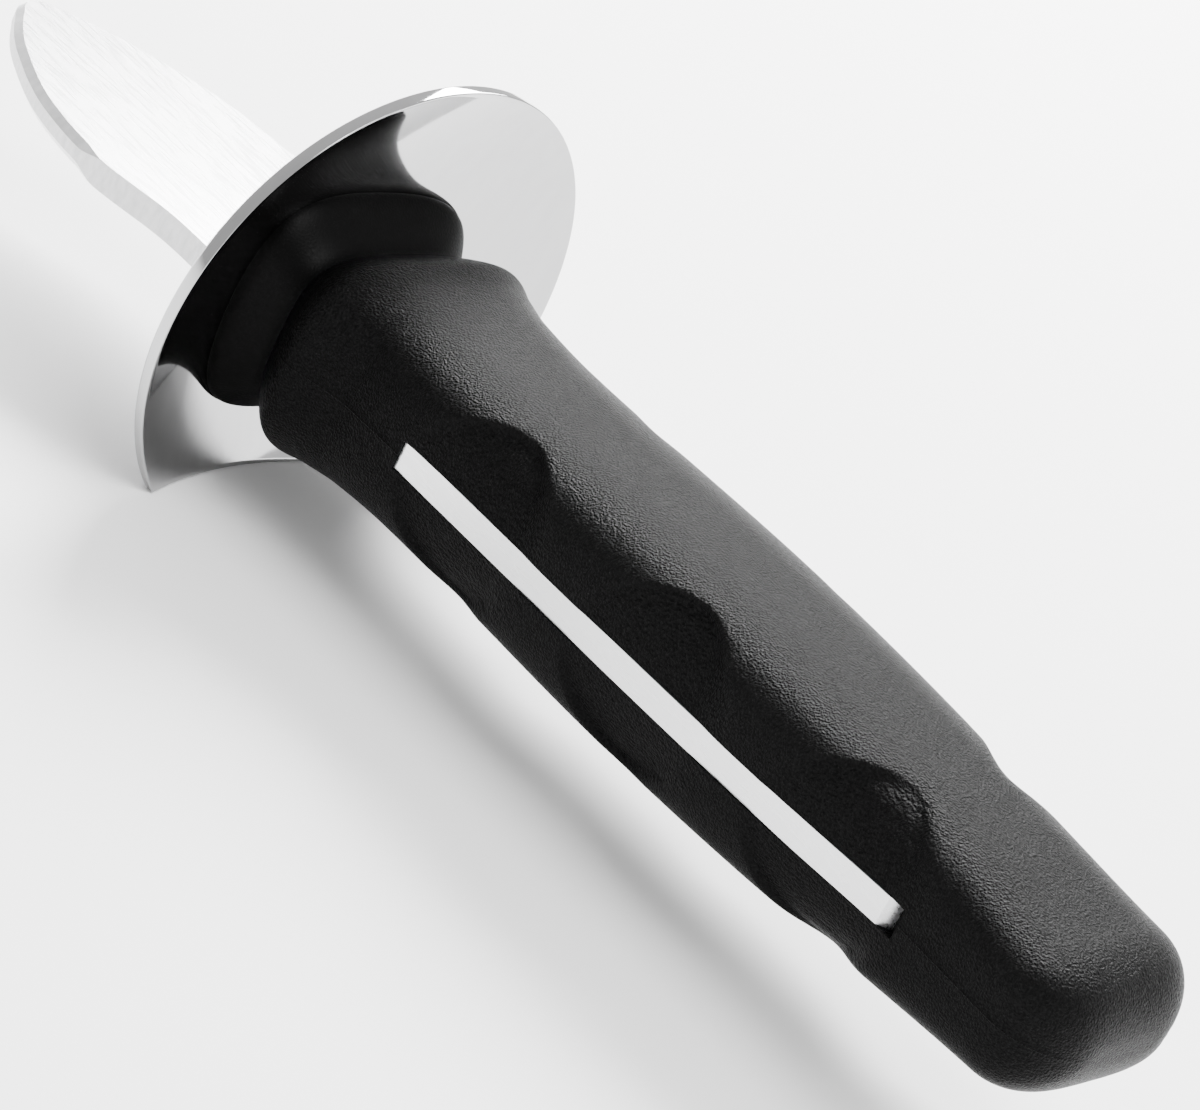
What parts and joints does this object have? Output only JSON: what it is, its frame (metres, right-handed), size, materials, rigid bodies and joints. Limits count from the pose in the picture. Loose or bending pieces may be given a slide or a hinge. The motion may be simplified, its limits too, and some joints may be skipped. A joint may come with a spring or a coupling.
{
  "type": "oyster knife",
  "caption": "Oyster knife with a full tang steel blade, a dished steel hand guard and a black moulded grip with finger recesses.",
  "frame": {"origin": "middle of the footprint, on the surface that the flat of the guard's rim rests on", "axes": "+X along the knife towards the blade's point, +Z square to the blade's flats and away from the flat on the guard's rim"},
  "size_m": [0.1676, 0.0522, 0.0467],
  "materials": {
    "blade_steel": "satin",
    "guard_steel": "polished",
    "collar_plastic": "matte",
    "grip_plastic": "fine grain"
  },
  "bodies": {
    "root": {"blade": "blade_steel", "guard": "guard_steel", "collar": "collar_plastic", "grip": "grip_plastic"}
  },
  "joints": []
}
